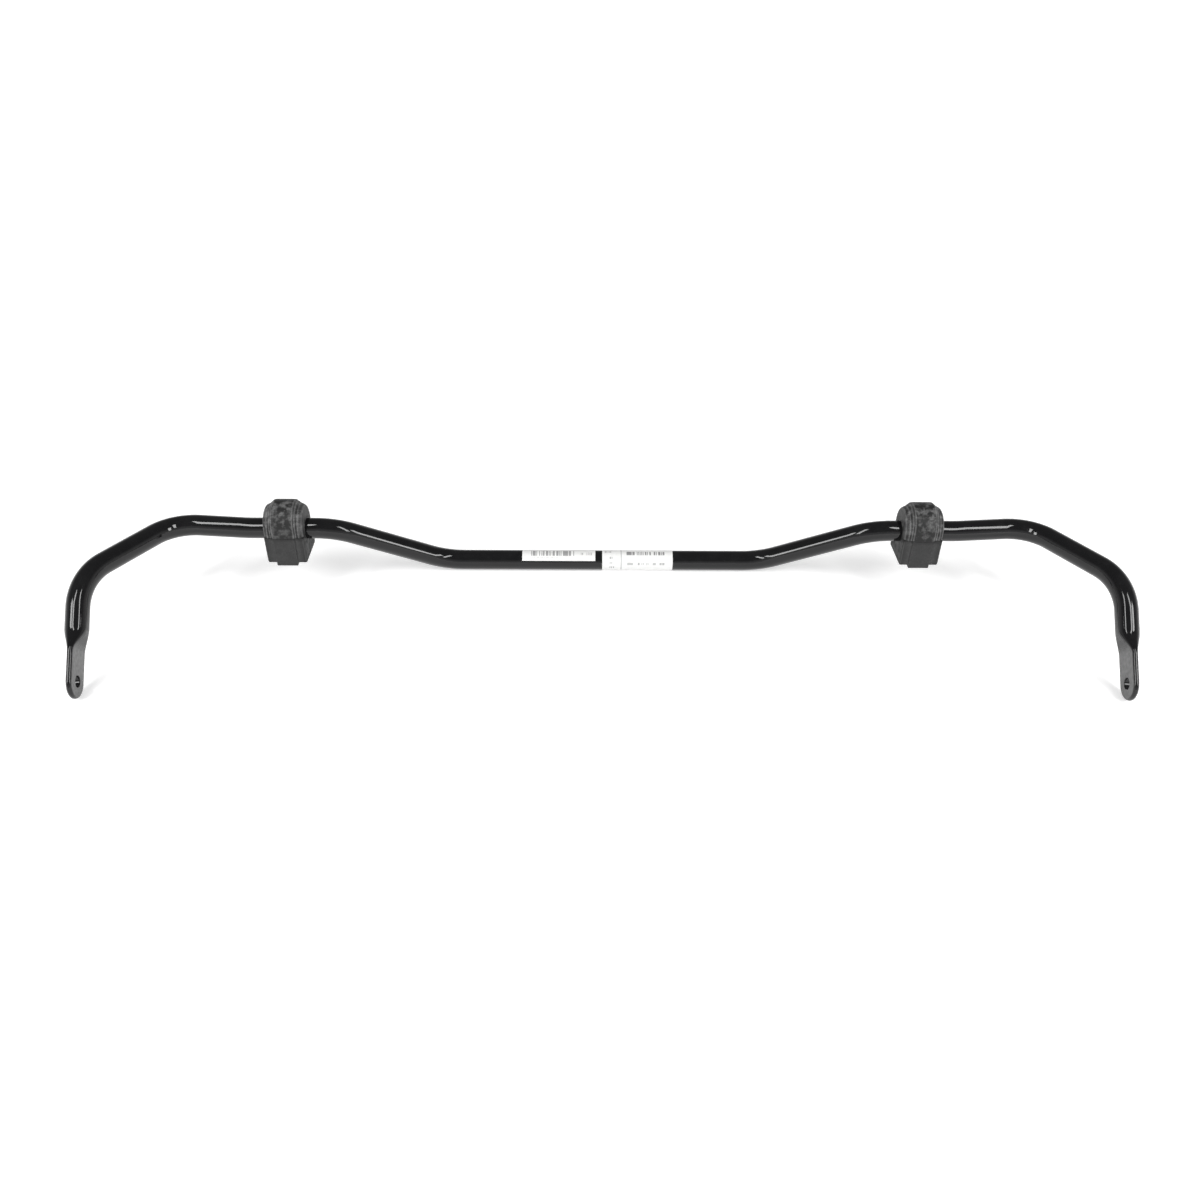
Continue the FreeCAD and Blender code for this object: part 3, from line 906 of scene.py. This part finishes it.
def printed_paper(name, rows):
    """White paper with rows of inked cells; each row is (ink share, strip and cells)."""
    material, nodes, shader = new_material(name, Roughness=0.42)
    place = nodes.add("ShaderNodeUVMap")
    place.uv_map = "printing"
    uv = nodes.add("ShaderNodeSeparateXYZ")
    nodes.join(place.outputs[0], uv.inputs[0])
    ink = None
    for strength, *strip in rows:
        row = nodes.math("MULTIPLY", printed_row(nodes, uv, *strip), strength)
        ink = row if ink is None else nodes.math("MAXIMUM", ink, row)
    grain = nodes.add("ShaderNodeTexNoise", Scale=350.0, Detail=3.0)
    object_place = nodes.add("ShaderNodeTexCoord")
    nodes.join(object_place.outputs["Object"], grain.inputs["Vector"])
    paper = nodes.mix(grain.outputs["Fac"], PAPER_LIGHT, PAPER_DARK)
    nodes.join(nodes.mix(ink, paper, INK), shader.inputs["Base Color"])
    bump = nodes.add("ShaderNodeBump", Strength=0.15, Distance=0.0001)
    nodes.join(grain.outputs["Fac"], bump.inputs["Height"])
    nodes.join(bump.outputs[0], shader.inputs["Normal"])
    return material


small_paper = printed_paper(
    "small_label_paper",
    [
        (0.62, 9.5, 64.0, 6.4, 14.6, 0.9, 0.62),
        (0.45, 70.5, 74.5, 7.6, 11.0, 0.7, 0.7),
        (0.50, 78.0, 84.5, 7.2, 11.4, 0.7, 0.7),
        (0.20, 12.0, 44.0, 3.6, 4.8, 0.6, 0.4),
    ],
)
large_paper = printed_paper(
    "large_label_paper",
    [
        (0.50, 22.6, 23.6, 8.0, 40.0, 1.0, 1.1),
        (0.40, 2.5, 11.0, 31.8, 35.4, 0.6, 0.65),
        (0.50, 8.0, 14.0, 23.4, 26.0, 0.6, 0.65),
        (0.45, 8.5, 13.0, 17.4, 20.0, 0.6, 0.65),
        (0.55, 8.5, 14.5, 10.6, 13.6, 0.6, 0.7),
        (0.70, 29.0, 76.0, 28.4, 34.0, 0.9, 0.60),
        (0.42, 30.5, 37.5, 15.6, 18.8, 0.6, 0.7),
        (0.50, 43.5, 50.5, 15.6, 18.8, 0.6, 0.7),
        (0.42, 54.0, 57.5, 15.6, 18.8, 0.6, 0.7),
        (0.45, 61.0, 65.5, 15.6, 18.8, 0.6, 0.7),
        (0.50, 70.0, 76.0, 15.6, 18.8, 0.6, 0.7),
    ],
)
set_material(small_label, small_paper)
set_material(large_label, large_paper)
print("paper nodes", len(small_paper.node_tree.nodes), len(large_paper.node_tree.nodes))

# %% [markdown]
# ## Camera
# It stands in front of the bar, a little above it, and looks down on it.

# %% Camera
CAMERA_YAW = math.radians(1.3)
CAMERA_PITCH = math.radians(35.5)
CAMERA_ROLL = math.radians(0.95)
CAMERA_LENS = 32.34
CAMERA_OFFSET = (5.6 * MM, 81.7 * MM, 1248.0 * MM)


def camera_axes(yaw, pitch, roll):
    """Right, up and forward directions of a camera turned, tipped and rolled."""
    forward = Vector(
        (math.sin(yaw) * math.cos(pitch), math.cos(yaw) * math.cos(pitch), -math.sin(pitch))
    )
    right = Vector((math.cos(yaw), -math.sin(yaw), 0))
    up = right.cross(forward)
    return (
        right * math.cos(roll) + up * math.sin(roll),
        up * math.cos(roll) - right * math.sin(roll),
        forward,
    )


right, up, forward = camera_axes(CAMERA_YAW, CAMERA_PITCH, CAMERA_ROLL)
aim = Vector((0, AXIS_DEPTH, AXIS_HEIGHT))
place = aim - right * CAMERA_OFFSET[0] - up * CAMERA_OFFSET[1] - forward * CAMERA_OFFSET[2]
camera = bpy.data.objects.new("camera", bpy.data.cameras.new("camera"))
camera.data.lens = CAMERA_LENS
camera.data.sensor_width = 36
camera.matrix_world = Matrix(
    (
        (right.x, up.x, -forward.x, place.x),
        (right.y, up.y, -forward.y, place.y),
        (right.z, up.z, -forward.z, place.z),
        (0, 0, 0, 1),
    )
)
bpy.context.scene.collection.objects.link(camera)
bpy.context.scene.camera = camera
print("camera stands at", [round(c, 3) for c in place])

# %% [markdown]
# ## Studio
# The bar lies on a wide white floor. Two soft boxes stand high in front of it, left and
# right, and draw the bright streaks on the level runs. Two lower ones at the sides draw the
# streaks on the slanted runs, which are turned away from the front pair. The walls are pale
# and the ceiling is dim, so that the tops of the tubes stay black.

# %% Floor, walls and lamps
FLOOR_REACH = 14.0
LAMPS = {
    "front": {"place": (1.09, -1.15, 1.70), "size": (0.30, 1.60), "power": 18.0},
    "side": {"place": (1.62, -0.92, 0.98), "size": (0.36, 1.15), "power": 15.5},
}
WALL_LIGHT = 0.80
CEILING_LIGHT = 0.18
FLOOR_COLOUR = (0.9, 0.9, 0.9, 1)
FLOOR_FILL_NEAR = 0.40
FLOOR_FILL_FAR = 0.90
FLOOR_FILL_REACH = (0.6, 2.4)


def studio_floor():
    """White paint whose far part is lifted to white where the camera or a reflection sees it."""
    material, nodes, shader = new_material("studio_floor", Base_Color=FLOOR_COLOUR, Roughness=0.9)
    shader.inputs["Specular IOR Level"].default_value = 0.0
    place = nodes.add("ShaderNodeTexCoord")
    distance = nodes.add("ShaderNodeVectorMath")
    distance.operation = "LENGTH"
    near, far = FLOOR_FILL_REACH
    fill = nodes.add(
        "ShaderNodeMapRange",
        From_Min=near,
        From_Max=far,
        To_Min=FLOOR_FILL_NEAR,
        To_Max=FLOOR_FILL_FAR,
    )
    nodes.join(place.outputs["Object"], distance.inputs[0])
    nodes.join(distance.outputs["Value"], fill.inputs["Value"])
    ray = nodes.add("ShaderNodeLightPath")
    seen = nodes.math("MAXIMUM", ray.outputs["Is Camera Ray"], ray.outputs["Is Glossy Ray"])
    seen = nodes.math("MAXIMUM", seen, ray.outputs["Is Transmission Ray"])
    shader.inputs["Emission Color"].default_value = (1, 1, 1, 1)
    nodes.join(nodes.math("MULTIPLY", fill.outputs[0], seen), shader.inputs["Emission Strength"])
    return material


floor = mesh_object(
    "floor",
    [(x * FLOOR_REACH, y * FLOOR_REACH, 0) for x, y in ((-1, -1), (1, -1), (1, 1), (-1, 1))],
    [(0, 1, 2, 3)],
)
set_material(floor, studio_floor())


def soft_box(name, place, target, size, power):
    """A rectangular lamp that faces the target."""
    lamp = bpy.data.lights.new(name, "AREA")
    lamp.shape = "RECTANGLE"
    lamp.size, lamp.size_y = size
    lamp.energy = power
    item = bpy.data.objects.new(name, lamp)
    item.location = place
    item.rotation_euler = (Vector(target) - Vector(place)).to_track_quat("-Z", "Y").to_euler()
    bpy.context.scene.collection.objects.link(item)


for lamp_name, lamp in LAMPS.items():
    across, depth, height = lamp["place"]
    for side in (-1, 1):
        soft_box(
            f"{lamp_name}_lamp_{side}",
            (side * across, depth, height),
            (side * across * 0.3, AXIS_DEPTH, 0.05),
            lamp["size"],
            lamp["power"],
        )


def studio_world():
    """A world that is pale near the horizon and dim overhead."""
    world = bpy.data.worlds.new("studio")
    world.use_nodes = True
    nodes, links = world.node_tree.nodes, world.node_tree.links
    background = nodes["Background"]
    direction = nodes.new("ShaderNodeTexCoord")
    split = nodes.new("ShaderNodeSeparateXYZ")
    ramp = nodes.new("ShaderNodeMapRange")
    ramp.inputs["From Min"].default_value = 0.08
    ramp.inputs["From Max"].default_value = 0.55
    ramp.inputs["To Min"].default_value = WALL_LIGHT
    ramp.inputs["To Max"].default_value = CEILING_LIGHT
    ramp.interpolation_type = "SMOOTHSTEP"
    links.new(direction.outputs["Generated"], split.inputs[0])
    links.new(split.outputs["Z"], ramp.inputs["Value"])
    links.new(ramp.outputs[0], background.inputs["Strength"])
    background.inputs["Color"].default_value = (1, 1, 1, 1)
    bpy.context.scene.world = world


studio_world()
bpy.context.scene.view_settings.view_transform = "Standard"
